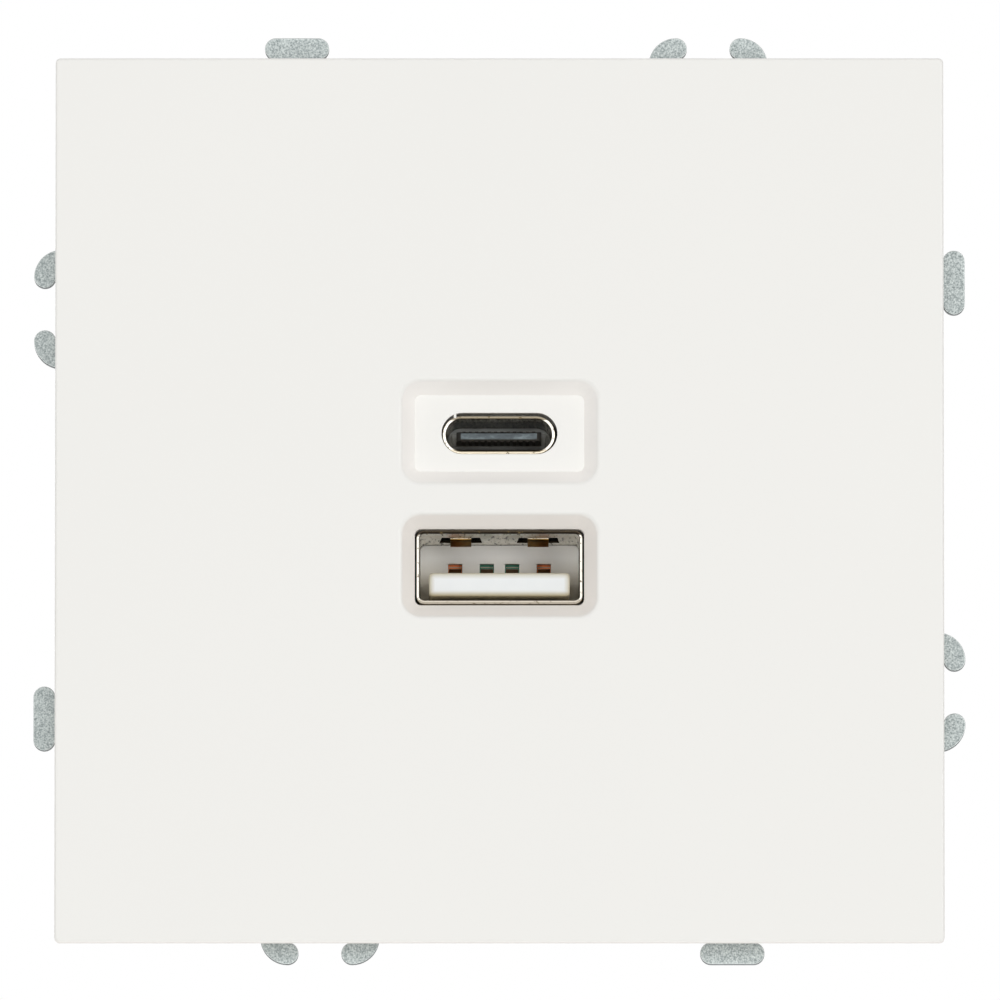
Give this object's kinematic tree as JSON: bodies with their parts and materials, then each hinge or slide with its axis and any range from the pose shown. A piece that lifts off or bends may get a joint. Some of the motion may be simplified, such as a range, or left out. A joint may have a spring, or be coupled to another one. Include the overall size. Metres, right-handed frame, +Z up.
{
  "type": "usb wall socket",
  "caption": "Flush wall socket with a USB-C port above a USB-A port, white square cover on a zinc-plated steel frame with joining hooks",
  "frame": {"origin": "on the wall plane, midway between the two box screws and between the two ports", "axes": "+Y into the wall box, +Z up, -Y towards the user"},
  "size_m": [0.0734, 0.0372, 0.0735],
  "materials": {
    "cover_plastic": "smooth moulded white plastic with a faint sheen",
    "housing_plastic": "fine matte moulded plastic",
    "zinc_plated_steel": "blue-white zinc plating on stamped sheet",
    "nickel_plated_steel": "bright nickel plating on folded sheet",
    "tongue_plastic": "white moulded insulator",
    "black_plastic": "black moulded insulator",
    "gold_plated_contact": "gold flash on copper alloy",
    "terminal_brass": "plain stamped brass",
    "green_board": "green lacquered glass-fibre laminate",
    "ferrite": "dark sintered ferrite",
    "winding_tape": "yellow polyester tape",
    "capacitor_sleeve": "dark shrink sleeve on an aluminium can",
    "blue_epoxy": "dipped epoxy",
    "fuse_body": "ceramic tube"
  },
  "bodies": {
    "socket": {"board_link_header": "black_plastic", "board_link_pins": "gold_plated_contact", "bridge_rectifier": "black_plastic", "bulk_capacitors": "capacitor_sleeve", "claw_pin_left": "zinc_plated_steel", "claw_pin_right": "zinc_plated_steel", "frame_screws": "zinc_plated_steel", "fuse": "fuse_body", "housing_front": "housing_plastic", "housing_rear": "housing_plastic", "housing_screws": "zinc_plated_steel", "input_choke": "ferrite", "output_capacitors": "capacitor_sleeve", "port_controller_ics": "black_plastic", "power_board": "green_board", "power_switch_ic": "black_plastic", "safety_capacitor": "blue_epoxy", "support_frame": "zinc_plated_steel", "terminal_blade_live": "terminal_brass", "terminal_blade_neutral": "terminal_brass", "transformer_bobbin": "black_plastic", "transformer_core": "ferrite", "transformer_winding": "winding_tape", "usb_a_contacts": "gold_plated_contact", "usb_a_insulator": "tongue_plastic", "usb_a_shell": "nickel_plated_steel", "usb_board": "green_board", "usb_c_contacts": "gold_plated_contact", "usb_c_insulator": "black_plastic", "usb_c_shell": "nickel_plated_steel"},
    "cover": {"front_cover": "cover_plastic"},
    "claw_left": {"claw_left": "zinc_plated_steel"},
    "claw_right": {"claw_right": "zinc_plated_steel"},
    "claw_screw_left": {"claw_screw_left": "zinc_plated_steel"},
    "claw_screw_right": {"claw_screw_right": "zinc_plated_steel"},
    "terminal_cage_live": {"terminal_cage_live": "zinc_plated_steel"},
    "terminal_cage_neutral": {"terminal_cage_neutral": "zinc_plated_steel"},
    "terminal_screw_live": {"terminal_screw_live": "zinc_plated_steel"},
    "terminal_screw_neutral": {"terminal_screw_neutral": "zinc_plated_steel"}
  },
  "joints": [
    {"name": "cover_pull", "type": "slide", "parent": "socket", "child": "cover", "axis": [0, -1, 0], "range_m": [0, 0.012]},
    {"name": "claw_screw_left_turn", "type": "hinge", "parent": "socket", "child": "claw_screw_left", "pos_m": [-0.0252, -0.001, 0], "axis": [0, 1, 0], "range_deg": [0, 1100]},
    {"name": "claw_left_swing", "type": "hinge", "parent": "socket", "child": "claw_left", "pos_m": [-0.0212, 0.0025, 0], "axis": [0, 0, 1], "range_deg": [0, 20]},
    {"name": "claw_screw_right_turn", "type": "hinge", "parent": "socket", "child": "claw_screw_right", "pos_m": [0.0252, -0.001, 0], "axis": [0, 1, 0], "range_deg": [0, 1100]},
    {"name": "claw_right_swing", "type": "hinge", "parent": "socket", "child": "claw_right", "pos_m": [0.0212, 0.0025, 0], "axis": [0, 0, -1], "range_deg": [0, 20]},
    {"name": "terminal_screw_live_turn", "type": "hinge", "parent": "socket", "child": "terminal_screw_live", "pos_m": [0.007, 0.0263, -0.016], "axis": [0, -1, 0], "range_deg": [0, 1728]},
    {"name": "terminal_cage_live_rise", "type": "slide", "parent": "socket", "child": "terminal_cage_live", "axis": [0, 1, 0], "range_m": [0, 0.0024]},
    {"name": "terminal_screw_neutral_turn", "type": "hinge", "parent": "socket", "child": "terminal_screw_neutral", "pos_m": [-0.007, 0.0263, -0.016], "axis": [0, -1, 0], "range_deg": [0, 1728]},
    {"name": "terminal_cage_neutral_rise", "type": "slide", "parent": "socket", "child": "terminal_cage_neutral", "axis": [0, 1, 0], "range_m": [0, 0.0024]}
  ],
  "couplings": [
    {"joint": "claw_screw_left_turn", "follows": "claw_left_swing", "ratio": 54.99},
    {"joint": "claw_screw_right_turn", "follows": "claw_right_swing", "ratio": 54.99},
    {"joint": "terminal_screw_live_turn", "follows": "terminal_cage_live_rise", "rad_per_m": 12566},
    {"joint": "terminal_screw_neutral_turn", "follows": "terminal_cage_neutral_rise", "rad_per_m": 12566}
  ]
}
